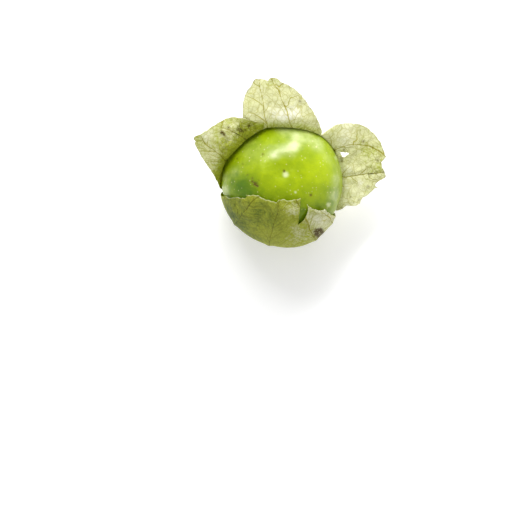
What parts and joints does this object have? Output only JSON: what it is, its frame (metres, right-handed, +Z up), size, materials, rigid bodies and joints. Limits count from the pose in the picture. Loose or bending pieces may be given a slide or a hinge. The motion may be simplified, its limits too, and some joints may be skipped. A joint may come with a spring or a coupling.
{
  "type": "tomatillo",
  "caption": "Whole green tomatillo standing on its stem end in a dry papery husk, torn open in lobes that flare out on the far sides and close over the fruit on the near side.",
  "frame": {"origin": "middle of the footprint of the whole thing, on the surface that it stands on", "axes": "+Z up along the fruit's axis, from the stem end to the blossom end; +X towards the lobe that lies low and flat, +Y towards the flared lobe opposite the closed ones"},
  "size_m": [0.079, 0.0695, 0.0456],
  "materials": {
    "fruit_skin": "gloss",
    "husk_paper": "matte",
    "stem_bark": "matte"
  },
  "bodies": {
    "root": {"fruit": "fruit_skin", "husk": "husk_paper", "stem": "stem_bark"}
  },
  "joints": []
}
